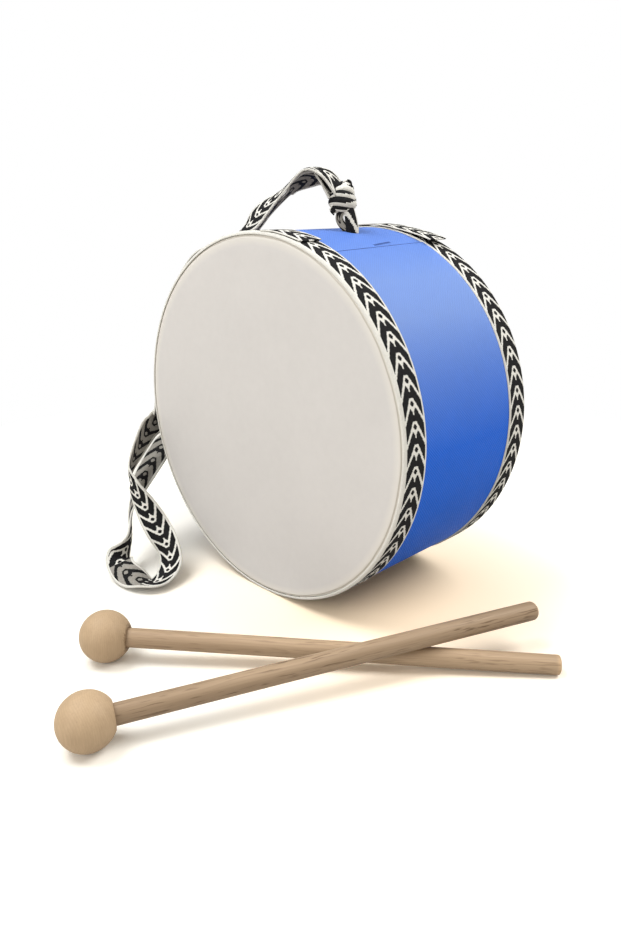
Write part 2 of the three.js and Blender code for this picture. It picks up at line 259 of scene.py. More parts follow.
class DrumSizes(bpy.types.PropertyGroup):
    """Sizes of the drum's trim."""
    ribbon_width: FloatProperty(
        name="Ribbon width", description="Width of the woven ribbon",
        default=16 * MM, unit="LENGTH")
    ribbon_thickness: FloatProperty(
        name="Ribbon thickness", description="Thickness of the woven ribbon",
        default=0.9 * MM, unit="LENGTH")
    repeats: IntProperty(
        name="Chevrons", description="Chevrons in one round of a rim ribbon",
        default=59, min=20, max=120)
    head_edge: FloatProperty(
        name="Head edge radius", description="Rounding where the skin turns over the rim",
        default=2.5 * MM, unit="LENGTH")
    sheet: FloatProperty(
        name="Sheet thickness", description="Thickness of the skin and of the blue sheet",
        default=0.8 * MM, unit="LENGTH")


class DrumColours(bpy.types.PropertyGroup):
    """Base colours, in linear light."""
    skin: FloatVectorProperty(
        name="Skin", description="Drum skin", subtype="COLOR", size=4,
        default=(0.665, 0.645, 0.625, 1))
    blue: FloatVectorProperty(
        name="Blue sheet", description="Coated sheet round the shell", subtype="COLOR", size=4,
        default=(0.010, 0.165, 0.82, 1))
    yarn_light: FloatVectorProperty(
        name="Light yarn", description="Light yarn of the ribbon", subtype="COLOR", size=4,
        default=(0.84, 0.83, 0.78, 1))
    yarn_dark: FloatVectorProperty(
        name="Dark yarn", description="Dark yarn of the ribbon", subtype="COLOR", size=4,
        default=(0.006, 0.006, 0.007, 1))
    yarn_back: FloatVectorProperty(
        name="Back of the ribbon", description="Mixed yarn on the ribbon's back", subtype="COLOR",
        size=4, default=(0.40, 0.385, 0.35, 1))
    dowel: FloatVectorProperty(
        name="Dowel", description="Wood of the mallets' sticks", subtype="COLOR", size=4,
        default=(0.42, 0.308, 0.207, 1))
    ball: FloatVectorProperty(
        name="Ball", description="Wood of the mallets' balls", subtype="COLOR", size=4,
        default=(0.47, 0.345, 0.222, 1))
    board: FloatVectorProperty(
        name="Board", description="Wood inside the drum", subtype="COLOR", size=4,
        default=(0.43, 0.29, 0.16, 1))


class DrumSettings(bpy.types.PropertyGroup):
    """Everything that the panel shows."""
    sizes: PointerProperty(type=DrumSizes, name="Sizes", description="Sizes of the trim")
    colours: PointerProperty(type=DrumColours, name="Colours", description="Base colours")


def sizes():
    return bpy.context.scene.drum_set.sizes


def weave_repeat():
    """Length of one chevron of the ribbon, in metres: a whole number of them goes round a rim."""
    return 2 * math.pi * BAND_R / sizes().repeats


def colour(name):
    return tuple(getattr(bpy.context.scene.drum_set.colours, name))


def shaded(rgba, share):
    return (*(share * c for c in rgba[:3]), 1)


# Places

def around(angle, radius, y=0.0):
    """A point about the drum's axis: angle in degrees, radius and y in metres from its middle."""
    a = math.radians(angle)
    return CENTRE + Vector((radius * math.cos(a), y, radius * math.sin(a)))


def in_set(x, y, z):
    """A point given in millimetres from the drum's middle in X and Y and from the floor in Z."""
    return Vector((CENTRE.x + x * MM, CENTRE.y + y * MM, FLOOR + z * MM))


def pointing(heading, slope):
    """The direction of a heading seen from above and a slope, in degrees."""
    h, s = math.radians(heading), math.radians(slope)
    return Vector((math.cos(h) * math.cos(s), math.sin(h) * math.cos(s), math.sin(s)))


CAMERA_BACK = pointing(-45, 19.27)  # the way from the drum to the camera


def smooth_curve(points, steps):
    """Points on the even Catmull-Rom curve through points, with this many steps between two of them."""
    ends = [2 * points[0] - points[1], *points, 2 * points[-1] - points[-2]]
    made = []
    for p0, p1, p2, p3 in zip(ends, ends[1:], ends[2:], ends[3:]):
        leave, arrive = (p2 - p0) / 2, (p3 - p1) / 2
        for k in range(steps):
            t = k / steps
            cubic = 2 * p1 - 2 * p2 + leave + arrive
            square = -3 * p1 + 3 * p2 - 2 * leave - arrive
            made.append(cubic * t**3 + square * t**2 + leave * t + p1)
    made.append(points[-1].copy())
    return made


# Meshes

def new_object(name, bm, materials=()):
    """A finished, smooth object at the origin from a bmesh, which is used up."""
    mesh = bpy.data.meshes.new(name)
    for face in bm.faces:
        face.smooth = True
    bm.to_mesh(mesh)
    bm.free()
    obj = bpy.data.objects.new(name, mesh)
    bpy.context.scene.collection.objects.link(obj)
    for finish in materials:
        mesh.materials.append(finish)
    return obj


def apply_modifiers(obj):
    """Puts what the modifiers make into the mesh."""
    bpy.context.view_layer.update()
    graph = bpy.context.evaluated_depsgraph_get()
    made = bpy.data.meshes.new_from_object(obj.evaluated_get(graph), depsgraph=graph)
    obj.modifiers.clear()
    old = obj.data
    obj.data = made
    bpy.data.meshes.remove(old)
    obj.data.name = obj.name
    return obj


def lay_weave(bm, spot):
    """Unrolls a mesh: spot(loop) is a corner's place along and across the weave, in metres."""
    uv = bm.loops.layers.uv.new("weave")
    for face in bm.faces:
        for loop in face.loops:
            along, across = spot(loop)
            loop[uv].uv = (along / MM, across / MM)


def spun(name, profile, steps, materials, place):
    """Turns a closed profile of (radius, along) about the local Z axis, then places it."""
    bm = bmesh.new()
    verts = [bm.verts.new((r, 0, h)) for r, h in profile]
    edges = [bm.edges.new(pair) for pair in zip(verts, verts[1:] + verts[:1])]
    bmesh.ops.spin(
        bm, geom=verts + edges, cent=(0, 0, 0), axis=(0, 0, 1), angle=2 * math.pi,
        steps=steps, use_merge=True, use_duplicate=False)
    bmesh.ops.remove_doubles(bm, verts=bm.verts, dist=1e-7)
    bmesh.ops.recalc_face_normals(bm, faces=bm.faces)
    bmesh.ops.transform(bm, matrix=place, verts=bm.verts)
    return new_object(name, bm, materials)


def arc(centre, radius, start, end, steps):
    """Points (radius, along) on an arc of a profile; angles in degrees, 0 points outward."""
    turned = [math.radians(start + (end - start) * i / steps) for i in range(steps + 1)]
    return [(centre[0] + radius * math.cos(t), centre[1] + radius * math.sin(t)) for t in turned]


def woven_strip(name, middles, widths, across, weave, thickness, rows=12, cup=lambda t, side: 0.0):
    """A strip of ribbon, a sheet with its own thickness.

    middles are the points along it and widths the way from its right edge to its left one, full width.
    across is the stretch of the ribbon's width that it shows, from right to left, and weave(length)
    tells where on the weave a place along it is. cup(share along, share across) lifts the sheet off its
    own plane. Lengths are in metres."""
    count = len(middles) - 1
    lengths = [0.0]
    for a, b in zip(middles, middles[1:]):
        lengths.append(lengths[-1] + (b - a).length)
    bm = bmesh.new()
    bmesh.ops.create_grid(bm, x_segments=count, y_segments=rows, size=1)
    spots = {}
    for vert in bm.verts:
        i = round((vert.co.x + 1) / 2 * count)
        t = (vert.co.y + 1) / 2
        ahead = middles[min(i + 1, count)] - middles[max(i - 1, 0)]
        ahead.normalize()
        wide = widths[i] - ahead * widths[i].dot(ahead)
        wide *= widths[i].length / wide.length
        out = ahead.cross(wide).normalized()
        spots[vert] = (weave(lengths[i]), across[0] + (across[1] - across[0]) * t)
        vert.co = middles[i] + wide * (t - 0.5) + out * cup(i / count, t)
    lay_weave(bm, lambda loop: spots[loop.vert])
    obj = new_object(name, bm, ribbon_materials())
    solid = obj.modifiers.new("thickness", "SOLIDIFY")
    solid.thickness = thickness
    solid.offset = 0
    solid.material_offset = 1
    solid.use_even_offset = False
    return apply_modifiers(obj)


def joined(name, parts):
    """One object from several, with their materials."""
    bpy.ops.object.select_all(action="DESELECT")
    for part in parts:
        part.select_set(True)
    bpy.context.view_layer.objects.active = parts[0]
    bpy.ops.object.join()
    parts[0].name = name
    parts[0].data.name = name
    return parts[0]


# Materials

class Value:
    """A node's output. What is reckoned from it becomes more nodes of its graph."""

    def __init__(self, graph, socket):
        self.graph = graph
        self.socket = socket

    def __add__(self, other):
        return self.graph.math("ADD", self, other)

    def __sub__(self, other):
        return self.graph.math("SUBTRACT", self, other)

    def __rsub__(self, other):
        return self.graph.math("SUBTRACT", other, self)

    def __mul__(self, other):
        return self.graph.math("MULTIPLY", self, other)

    def __truediv__(self, other):
        return self.graph.math("DIVIDE", self, other)

    def __mod__(self, other):
        return self.graph.math("FLOORED_MODULO", self, other)


class Graph:
    """Adds nodes to an emptied tree. An input takes a number, a colour or a Value."""

    def __init__(self, tree):
        self.tree = tree
        tree.nodes.clear()

    def feed(self, socket, value):
        if isinstance(value, Value):
            self.tree.links.new(value.socket, socket)
        else:
            socket.default_value = value

    def node(self, kind, inputs, **settings):
        """Adds a node and gives its outputs."""
        node = self.tree.nodes.new("ShaderNode" + kind)
        for name, value in settings.items():
            setattr(node, name, value)
        for key, value in inputs.items():
            self.feed(node.inputs[key], value)
        return node.outputs

    def add(self, kind, inputs=(), out=0, **settings):
        return Value(self, self.node(kind, dict(inputs), **settings)[out])

    def math(self, operation, a, b=0.0):
        return self.add("Math", {0: a, 1: b}, operation=operation)

    def distance(self, a, b):
        return self.math("SQRT", a * a + b * b)

    def mix(self, factor, a, b, blend="MIX"):
        return self.add("Mix", {0: factor, 6: a, 7: b}, out=2, data_type="RGBA", blend_type=blend)

    def tinted(self, base, *tint):
        return self.mix(1.0, base, (*tint, 1), "MULTIPLY")

    def noise(self, vector, scale, detail, rough):
        inputs = {"Vector": vector, "Scale": scale, "Detail": detail, "Roughness": rough}
        return self.add("TexNoise", inputs)

    def range(self, value, low, high, to_low=0.0, to_high=1.0):
        return self.add("MapRange", {0: value, 1: low, 2: high, 3: to_low, 4: to_high})

    def bump(self, height, strength, distance, **under):
        return self.add("Bump", {"Height": height, "Strength": strength, "Distance": distance, **under})

    def parts(self, vector):
        return [Value(self, out) for out in self.node("SeparateXYZ", {0: vector})]

    def place(self, location=(0, 0, 0), rotation=(0, 0, 0)):
        """Object coordinates seen from a frame of their own."""
        at = self.add("TexCoord", out="Object")
        inputs = {"Vector": at, "Location": location, "Rotation": rotation}
        return self.add("Mapping", inputs, vector_type="TEXTURE")

    def seen(self):
        """1 for what the camera sees, straight or through something clear."""
        straight = self.add("LightPath", out="Is Camera Ray")
        through = self.add("LightPath", out="Is Transmission Ray")
        return self.math("MAXIMUM", straight, through)

    def group(self, name, fill, outputs, inputs):
        """Places a node group, which fill makes at its first use, and gives its outputs."""
        tree = bpy.data.node_groups.get(name) or new_group(name, fill, list(inputs), outputs.split())
        return [Value(self, out) for out in self.node("Group", inputs, node_tree=tree)]

    def surface(self, tint, rough, specular, normal):
        """Ends a material's tree."""
        shader = self.add("BsdfPrincipled", {
            "Base Color": tint, "Roughness": rough, "Specular IOR Level": specular, "Normal": normal})
        self.node("OutputMaterial", {0: shader})


def new_group(name, fill, inputs, outputs):
    """A shader node group with these named sockets. fill(graph, *inputs) gives what its outputs give."""
    tree = bpy.data.node_groups.new(name, "ShaderNodeTree")
    g = Graph(tree)
    kinds = {"Vector": "Vector", "Colour": "Color", "Tint": "Color"}
    for way, labels in (("INPUT", inputs), ("OUTPUT", outputs)):
        for label in labels:
            kind = kinds.get(label, "Float")
            tree.interface.new_socket(label, in_out=way, socket_type="NodeSocket" + kind)
    entry = tree.nodes.new("NodeGroupInput").outputs
    leave = tree.nodes.new("NodeGroupOutput").inputs
    made = fill(g, *[Value(g, entry[label]) for label in inputs])
    for label, value in zip(outputs, made):
        g.feed(leave[label], value)
    return tree


def chevrons(g, along, across, repeat, field, spread):
    """The ribbon's figure: chevrons with a dot and a stem, drawn thread by thread.

    Along runs the way that the chevrons point and across from the middle line, both in millimetres.
    Field is half the width of the patterned part, and spread makes the legs broader."""
    picks = 25.0  # threads in one repeat
    warp = 0.44  # from one column of threads to the next
    blunt, fall_back = 1.35, 1.8  # half the tip's width, and how much steeper than wide a leg runs
    leg_width, fillet, soften = 2.7, 2.0, -1.4
    dot_at, dot_long, dot_wide = 2.5, 1.35, 1.15
    stem_end = 7.5
    thread = repeat / picks
    column = g.math("FLOOR", across / warp)
    stagger = column % 2.0 * 0.5
    row = g.math("FLOOR", along / thread + stagger)
    u = (row + 0.5 - stagger) * thread
    v = g.math("ABSOLUTE", (column + 0.5) * warp)
    behind = repeat - u % repeat
    past_tip = g.math("MAXIMUM", v - blunt, 0.0)
    leg = (behind - past_tip * fall_back) % repeat
    broad = g.math("EXPONENT", past_tip * soften) * fillet + leg_width + spread
    legs = g.math("LESS_THAN", leg, broad)
    taper = g.range(behind, 4.4, 6.2, 1.5, 0.5)
    stem = g.math("LESS_THAN", v, taper) * g.math("LESS_THAN", behind, stem_end)
    dot_u = (behind - dot_at) / dot_long
    dot_v = v / dot_wide
    dot = g.math("LESS_THAN", dot_u * dot_u + dot_v * dot_v, 1.0)
    figure = g.math("MAXIMUM", legs, stem) * (1.0 - dot)
    edge = g.math("GREATER_THAN", v, field)
    # each thread is a small rounded rib
    ridge = g.math("COSINE", (along / thread + stagger - 0.5) * (2 * math.pi))
    valley = g.math("COSINE", (across / warp - 0.5) * (2 * math.pi))
    height = (ridge + valley) * 0.25 + 0.5
    seed = g.add("CombineXYZ", {0: row, 1: column})
    chance = g.add("TexWhiteNoise", {"Vector": seed}, noise_dimensions="3D")
    return figure, height, chance, edge


def grain(g, at, base, fleck, band, lines):
    """Grain along Z: soft bands, fine fibres, short dark flecks and growth layers."""
    def drawn_out(share, scale, detail, rough):
        """Noise whose spots are drawn out along the grain."""
        squeezed = g.add("VectorMath", {0: at, 1: (1, 1, share)}, operation="MULTIPLY")
        return g.noise(squeezed, scale, detail, rough)

    bands = g.range(drawn_out(0.045, 260, 3, 0.55), 0.3, 0.7)
    fibres = g.range(drawn_out(0.03, 1500, 2, 0.6), 0.35, 0.75)
    short = g.range(drawn_out(0.09, 1150, 1, 0.5), 0.54, 0.68)
    marks = short * g.range(drawn_out(0.05, 420, 2, 0.5), 0.40, 0.60)
    light = g.tinted(base, 1.16, 1.14, 1.10)
    deep = g.tinted(base, 0.78, 0.74, 0.68)
    dark = g.tinted(base, 0.42, 0.36, 0.30)
    coloured = g.mix(bands * band, light, deep)
    coloured = g.mix(fibres * 0.22, coloured, deep)
    coloured = g.mix(marks * fleck, coloured, dark)
    # growth layers lie round a pith that is well outside the piece
    pith_x, layer_gap, waver = 22 * MM, 0.95 * MM, 3 * MM
    x, y = g.parts(at)[:2]
    pith = g.distance(x + pith_x, y) + drawn_out(0.4, 60, 2, 0.5) * waver
    layer = g.math("POWER", g.math("FRACT", pith / layer_gap), 3.0)
    return g.mix(layer * lines, coloured, deep), fibres - marks * 0.8


def mottle(g, at, base, tint, amount, scale):
    """A soft unevenness of a colour over two scales."""
    wide = g.noise(at, scale, 3, 0.55)
    close = g.noise(at, scale * 9.0, 2, 0.6)
    mask = g.range(close * 0.35 + wide * 0.65, 0.36, 0.64)
    return g.mix(mask * amount, base, tint), mask


def material(name, fill, *given, **settings):
    """The material of that name. fill(graph, ...) makes the nodes of a new one."""
    if name not in bpy.data.materials:
        made = bpy.data.materials.new(name)
        made.use_nodes = True
        fill(Graph(made.node_tree), *given, **settings)
    return bpy.data.materials[name]


def skin(g):
    """Drum skin, with a painted highlight on its rounded rim and a painted shadow along its edge."""
    at = g.place()
    base = colour("skin")
    uneven, mask = g.group("soft_mottle", mottle, "Colour Mask", {
        "Vector": at, "Colour": base, "Tint": shaded(base, 0.93), "Amount": 0.6, "Scale": 22.0})
    # painted highlight: the rounded rim is made paler and creamier
    x, _, z = g.parts(g.place(location=CENTRE))
    out = g.distance(x, z)
    rim = g.range(out, HEAD_R - 6 * MM, HEAD_R - 1 * MM)
    plain = g.mix(rim * 0.7, uneven, (0.80, 0.765, 0.69, 1))
    # a thin painted shadow runs along the ribbon's edge, in the gap between the skin and the ribbon
    gap_shadow_r, gap_shadow_w = HEAD_R - 0.75 * MM, 0.3 * MM
    off = (g.noise(at, 45, 2, 0.5) * (1.2 * MM) + out - gap_shadow_r) / gap_shadow_w
    gap_shadow = g.math("EXPONENT", off * off * -1.0)
    tint = g.mix(gap_shadow * 0.6, plain, (0.30, 0.26, 0.20, 1))
    pores = g.noise(at, 900, 3, 0.6)
    g.surface(tint, 0.62, 0.35, g.bump(pores, 0.12, 0.3 * MM, Normal=g.bump(mask, 0.05, 1 * MM)))


def blue_sheet(g):
    """Coated sheet, embossed like canvas."""
    base = colour("blue")
    uneven = g.group("soft_mottle", mottle, "Colour Mask", {
        "Vector": g.place(), "Colour": base, "Tint": shaded(base, 0.82), "Amount": 0.35,
        "Scale": 60.0})[0]
    unrolled = g.add("UVMap", uv_map="weave")
    along, across = g.parts(unrolled)[:2]
    # staggered pads, round the drum and along it
    pad = 2 * math.pi / 1.6
    pads = g.math("SINE", along * pad) * g.math("SINE", across * pad)
    high = g.range(pads, -0.6, 0.9)
    # painted shade in the hollows between the pads; the pads keep the lighter colour
    hollow_shade = g.tinted(uneven, 0.55, 0.66, 0.82)
    # the upper side gets a painted sheen, a paler colour that peaks partway up, and is more polished
    up = g.parts(g.place(location=CENTRE))[2]
    most = 0.52
    painted_sheen = g.math(
        "MINIMUM", g.range(up, 0, 62 * MM, 0, most), g.range(up, 78 * MM, 97 * MM, most, 0.34))
    blue = g.mix(painted_sheen, g.mix(high, hollow_shade, uneven), (0.30, 0.42, 0.62, 1))
    # painted shadow along the seam's edge and round the slit
    seam = math.radians(SEAM_ANGLE + 360) * COVER_R / MM
    by_seam = g.range(along, seam - 0.75, seam - 0.35)
    slit = math.radians(SLIT_ANGLE) * COVER_R / MM
    lean = math.radians(SLIT_SKEW) * COVER_R / SLIT_L
    half, soft = SLIT_L / 2 / MM, 0.3
    from_middle = across - SLIT_Y / MM
    aside = g.math("ABSOLUTE", along - slit - from_middle * lean)
    by_slit = g.range(aside, 0.35, 0.75, 1, 0) * g.range(
        g.math("ABSOLUTE", from_middle), half - soft, half + soft, 1, 0)
    seam_slit_shadow = g.math("MAXIMUM", by_seam * 0.75, by_slit)
    blue = g.mix(seam_slit_shadow, blue, (0.006, 0.035, 0.20, 1))
    # what the sheet throws on its surroundings is kept plainer than the sheet itself
    thrown = g.add("LightPath", out="Is Diffuse Ray")
    tint = g.mix(thrown * 0.8, blue, (0.34, 0.29, 0.23, 1))
    height = g.noise(unrolled, 1.6, 2, 0.5) * 0.5 + pads
    g.surface(
        tint, g.range(high, 0, 1, 0.50, 0.42), g.range(up, -30 * MM, 30 * MM, 0.08, 0.24),
        g.bump(height, 0.6, 0.12 * MM))


def ribbon(g, inverted):
    """Woven ribbon. On its back the figure is inverted, on a beige ground."""
    light, dark, ground = colour("yarn_light"), colour("yarn_dark"), colour("yarn_back")
    along, across = g.parts(g.add("UVMap", uv_map="weave"))[:2]
    figure, thread, yarn, edge = g.group("woven_chevrons", chevrons, "Figure Thread Yarn Edge", {
        "Along": along, "Across": across, "Repeat": weave_repeat() / MM, "Field": 6.6,
        "Spread": 1.5 if inverted else 0.0})
    light_yarn = g.mix(yarn * 0.5, light, g.tinted(light, 0.84, 0.83, 0.80))
    dark_yarn = g.mix(yarn * 0.4, dark, (0.030, 0.029, 0.030, 1))
    if inverted:
        mixed = g.tinted(ground, 0.78, 0.76, 0.74)
        woven = g.mix(figure, g.mix(yarn, ground, mixed), dark_yarn)
    else:
        woven = g.mix(figure, dark_yarn, light_yarn)
    woven = g.mix(edge, woven, light_yarn)
    gaps = g.range(thread, 0.0, 0.5, 0.80, 1.0)
    shadow = g.add("CombineColor", {0: gaps, 1: gaps, 2: gaps})
    g.surface(g.mix(1.0, woven, shadow, "MULTIPLY"), 0.88, 0.2, g.bump(thread, 0.5, 0.15 * MM))


def ribbon_materials():
    return [material("ribbon_front", ribbon, False), material("ribbon_back", ribbon, True)]


def wood(g, tint, location, rotation, fleck, band, rough, lines=0.3, torn=None, end=None):
    """Plain wood. torn tells how dark the frayed rim of a bore is, and how far along -X it lies.
    end is the length along Z at which the wood turns paler towards its end."""
    at = g.place(location=location, rotation=rotation)
    x, _, z = g.parts(at)
    shown, height = g.group("wood_grain", grain, "Colour Height", {
        "Vector": at, "Colour": tint, "Fleck": fleck, "Band": band, "Lines": lines})
    if torn:
        dark, rim = torn
        deep = g.noise(at, 900, 2, 0.6) * (-2.4 * MM) + x
        ragged = g.range(deep, -rim - 0.7 * MM, -rim - 1.4 * MM, 0, dark)
        shown = g.mix(ragged, shown, (0.16, 0.095, 0.05, 1))
    if end:
        paler_end = g.range(z, end - 2.6 * MM, end - 1.2 * MM)
        shown = g.mix(paler_end, shown, g.tinted(shown, 1.22, 1.20, 1.14))
    g.surface(shown, rough, 0.3, g.bump(height, 0.25, 0.1 * MM))


# Operators, one for each piece or group of like pieces

class DRUM_OT_camera(bpy.types.Operator):
    """Stand the camera where the picture was taken"""
    bl_idname = "drum.camera"
    bl_label = "Camera"

    def execute(self, context):
        target = CENTRE + Vector((-12.5, 0, -39.6)) * MM
        distance = 468.8 * MM
        data = bpy.data.cameras.new("camera")
        data.lens = 29.57
        data.sensor_width = 36
        data.clip_start = 0.01
        camera = bpy.data.objects.new("camera", data)
        context.scene.collection.objects.link(camera)
        camera.location = target + CAMERA_BACK * distance
        camera.rotation_euler = (-CAMERA_BACK).to_track_quat("-Z", "Y").to_euler()
        context.scene.camera = camera
        return {"FINISHED"}


class DRUM_OT_knot(bpy.types.Operator):
    """Make the knot and the doubled end below it that holds the strap in its hole"""
    bl_idname = "drum.knot"
    bl_label = "Knot"

    # Each piece of ribbon in the knot: stations of right, up and near from the knot's middle as the camera
    # sees it, and the way and size of the ribbon's width there, in millimetres. "shown" is the stretch of
    # the full width that it shows, "start" the place on the weave, "stretch" draws the weave out where a
    # fold runs aslant of it, and "bulge" rounds it across.
    TIED = {
        "crown": {"shown": (8.6, 6.9), "start": 0, "bulge": 0.9, "at": [
            (-5.6, 0.6, -1.8, -0.6, 3.4, 0), (-5.4, 2, 1, -0.6, 3.2, -0.6),
            (-2.4, 3.9, 3.5, -0.3, 3.2, -1.2), (1.6, 4.5, 3.7, 0.1, 3.2, -1.2),
            (4.6, 3.2, 1.4, 0.4, 3, -0.6), (4.8, 2, -2, 0.4, 3, 0)]},
        "shoulder": {"shown": (6.4, 3.6), "start": 3.2, "bulge": 1, "at": [
            (-5.2, 3.2, -2.6, -1, 4.6, 0.4), (-4.8, 4.6, 0.2, -0.8, 4.6, -1),
            (-2.2, 6.2, 1.9, -0.4, 4.8, -2.4), (1.4, 6.6, 1.9, 0.2, 4.8, -2.6),
            (4.2, 5.2, 0.2, 0.8, 4.6, -1.2), (4.2, 4.2, -2.6, 0.8, 4.4, 0.2)]},
        "upper_fold": {"shown": (8, 4.5), "start": 2.7, "stretch": 1.8, "bulge": 0.9, "at": [
            (-5.8, 0.4, -2.4, 0.2, 3.6, 0.2), (-6.1, 0.9, 0.9, 0.4, 3.6, 0.2),
            (-2.8, 1.5, 4.3, 0.6, 3.7, -0.5), (2, 0.4, 4.8, 0.8, 3.7, -0.4),
            (5.4, -0.8, 2, 0.6, 3.6, 0.2), (5.6, -0.8, -2, 0.4, 3.6, 0.2)]},
        "middle_fold": {"shown": (7.7, 3.9), "start": 2.5, "stretch": 1.9, "bulge": 1.2, "at": [
            (-5.4, -1.9, -2.8, -0.2, 4.6, 0.4), (-6.3, -1.6, 0.6, 0.2, 4.6, 0.4),
            (-3.2, -2.3, 4.2, 0.6, 4.7, 0.5), (1.8, -3.1, 4.7, 0.5, 4.8, 0.5),
            (5.4, -3, 1.8, 0.2, 4.6, 0.3), (5.3, -2.6, -2.2, 0, 4.4, 0.2)]},
        "lower_fold": {"shown": (7.3, 4.7), "start": 3, "stretch": 1.8, "bulge": 0.8, "at": [
            (-4, -4.2, -2.4, 0.4, 3.2, 0.8), (-5.1, -4.3, 0.8, 0.6, 3.2, 0.8),
            (-2.2, -5.6, 3.1, 0.4, 3.2, 1.2), (1.8, -5.9, 3.3, 0.3, 3.2, 1.2),
            (4.5, -5.1, 1, 0.2, 3.2, 0.8), (4, -4.4, -2.4, 0.2, 3.2, 0.4)]},
        "side": {"shown": (5.6, 2.2), "start": 4.6, "bulge": 0.4, "at": [
            (4.4, 6, -0.6, 0.8, 0.2, 5), (5, 3.4, -0.2, 0.6, 0.1, 5),
            (5.2, -0.2, -0.4, 0.4, 0, 5), (4.8, -3.6, -0.6, 0.2, 0, 5)]},
        "ear": {"shown": (5.4, 2.6), "start": 2.2, "bulge": 0.3, "at": [
            (-2.6, 4.2, 0.2, 0.5, 1.3, 5), (-1.3, 6.4, 0.2, 0.5, 1.3, 5),
            (0.7, 8.2, 0, 0.4, 1.4, 5), (2.9, 8.6, -0.2, 0, 1.4, 5),
            (4.5, 7, -0.4, -0.9, 0.8, 5), (4.9, 3.8, -0.6, -1.3, 0, 5)]},
        "tail": {"shown": (-8, -1), "start": 4, "bulge": 0.8, "at": [
            (0, -3.4, 1.4, -2.4, -4.4, -1.4), (-2.6, -4.6, 2.2, -2.2, -4.4, -1.6),
            (-4.9, -5.8, 1.5, -1.8, -4, -2), (-6, -7, 0.2, -1.2, -3.2, -2.2)]},
        "far_strand": {"shown": (-8, 6), "start": 2, "bulge": -0.8, "at": [
            (-0.2, -4.6, 0.2, -4, -0.4, -1), (-1.3, -7.4, 0.4, -3.8, 0.5, -1.2),
            (-1.9, -10, 0.3, -3.6, 1, -1.2), (-0.9, -12.7, 0.1, -3.8, 0.5, -1),
            (1.6, -15.4, 0, -4.2, -1.2, -0.8), (3.8, -18.4, -0.4, -4, -1, -0.6),
            (4.4, -21.6, -1.8, -3.6, -0.5, -0.6)]},
        "near_strand": {"shown": (7, 1.4), "start": 8.4, "stretch": 1.5, "bulge": 1.6, "at": [
            (4.8, -20.8, -1.6, -5.4, 0.2, 0.2), (4.9, -17.2, 0.6, -6.2, 0.2, 0.2),
            (4.5, -13.8, 1.4, -6.2, 0, 0.2), (3.8, -10, 1.8, -5.8, -0.2, 0.2),
            (3, -6.4, 1.8, -5.4, -0.2, 0.4), (1.8, -2.8, 1.6, -5, -0.4, 0.6)]},
    }

    def execute(self, context):
        size = sizes()
        right = Vector((-CAMERA_BACK.y, CAMERA_BACK.x, 0)).normalized()
        up = CAMERA_BACK.cross(right)
        middle = in_set(*KNOT)

        def turned(r, u, near):
            return (right * r + up * u + CAMERA_BACK * near) * MM

        parts = []
        steps = 12
        for name, piece in self.TIED.items():
            middles = smooth_curve([middle + turned(*row[:3]) for row in piece["at"]], steps)
            widths = smooth_curve([turned(*row[3:]) for row in piece["at"]], steps)
            bulge, start, stretch = piece["bulge"] * MM, piece["start"] * MM, piece.get("stretch", 1)
            shown = [side * MM for side in piece["shown"]]
            parts.append(woven_strip(
                name, middles, widths, shown, lambda along: start + along / stretch,
                0.8 * size.ribbon_thickness, cup=lambda t, side: bulge * (1 - (2 * side - 1) ** 2)))
        # a core fills what would show between the folds, in a dark tone of the weave
        bm = bmesh.new()
        bmesh.ops.create_uvsphere(
            bm, u_segments=24, v_segments=16, radius=4.4 * MM, matrix=Matrix.Translation(middle))
        lay_weave(bm, lambda loop: (9 * MM, 4 * MM))
        parts.append(new_object("core", bm, ribbon_materials()))
        knot = joined("strap_knot_tied", parts)
        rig.replaces(knot, "strap_top_knot")
        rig.ride(knot, "drum")
        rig.slot(knot, "ribbon")
        return {"FINISHED"}


class DRUM_OT_strap(bpy.types.Operator):
    """Make the shoulder strap, a loop of woven ribbon that starts and ends in the knot"""
    bl_idname = "drum.strap"
    bl_label = "Strap"

    def execute(self, context):
        size = sizes()
        steps = 14
        top = Vector((0, 0, 1))
        lay = [LAY.get(i, (0, 0, 1)) for i in range(len(STRAP))]
        route = smooth_curve([in_set(*row[:3]) for row in STRAP], steps)
        moves = smooth_curve([(CAMERA_BACK * near + top * up) * MM for near, up, _ in lay], steps)
        middles = [point + move for point, move in zip(route, moves)]
        widths = smooth_curve([pointing(*row[3:]) for row in STRAP], steps)
        shares = smooth_curve([Vector((share, 0, 0)) for _, _, share in lay], steps)
        widths = [w.normalized() * size.ribbon_width * share.x for w, share in zip(widths, shares)]
        half = size.ribbon_width / 2

        def curl(t, side):
            """A ribbon is never quite flat: its edges bend a little to one side."""
            wave = noise.noise(Vector((t * 9, 0.3, 0.7)))
            return (0.5 + 0.5 * wave) * MM * (0.35 - (2 * side - 1) ** 2)

        strap = woven_strip(
            "strap_ribbon_woven", middles, widths, (half, -half), self.weave, size.ribbon_thickness,
            cup=curl)
        length = sum((b - a).length for a, b in zip(middles, middles[1:]))
        low, high = (self.weave(end * MM) / MM for end in TURNED_OVER)
        spots = strap.data.uv_layers["weave"].uv
        for face in strap.data.polygons:
            if low < min(spots[i].vector.x for i in face.loop_indices) < high:
                face.material_index = 1 - face.material_index
        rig.replaces(strap, "strap_ribbon")
        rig.ride(strap, "drum")
        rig.slot(strap, "ribbon")
        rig.cord(
            strap, exit=middles[0], length=length, diameter=size.ribbon_width, far_end="object",
            stiffness="limp", lay="loose", path=middles[::4] + middles[-1:],
            with_pieces=[bpy.data.objects["strap_knot_tied"]])
        return {"FINISHED"}

    def weave(self, along):
        """Where on the weave a place along the strap is."""
        for (s0, n0), (s1, n1) in zip(WEAVE, WEAVE[1:]):
            if along / MM <= s1:
                break
        return (n0 + (n1 - n0) * (along / MM - s0) / (s1 - s0)) * weave_repeat()


